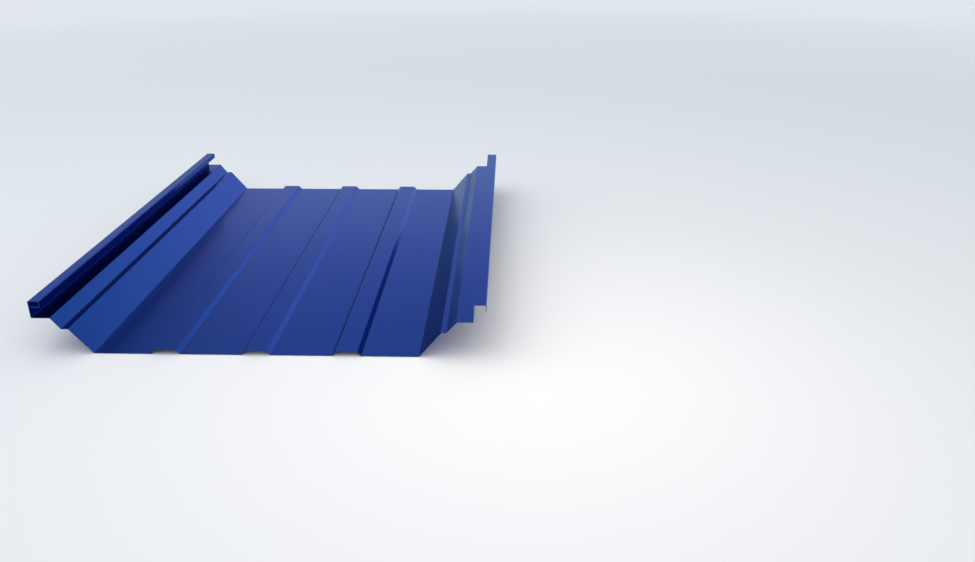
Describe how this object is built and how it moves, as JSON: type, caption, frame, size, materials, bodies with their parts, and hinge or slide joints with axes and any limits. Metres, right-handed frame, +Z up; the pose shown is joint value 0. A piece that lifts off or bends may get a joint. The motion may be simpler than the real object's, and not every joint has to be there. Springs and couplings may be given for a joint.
{
  "type": "standing seam roof panel",
  "caption": "Trapezoidal standing seam roof panel, roll-formed from painted sheet steel, with a ribbed pan, stepped sides, a boxed male hook and an open female hook along its long edges.",
  "frame": {"origin": "middle of the panel's outer size in X and Y, on the floor that the pan lies on", "axes": "+X across the panel from the male edge to the female edge, +Y along the ribs, +Z up, out of the weather side"},
  "size_m": [0.627, 0.76, 0.08],
  "materials": {
    "blue_paint": "satin"
  },
  "bodies": {
    "root": {"panel_sheet": "blue_paint"}
  },
  "joints": []
}
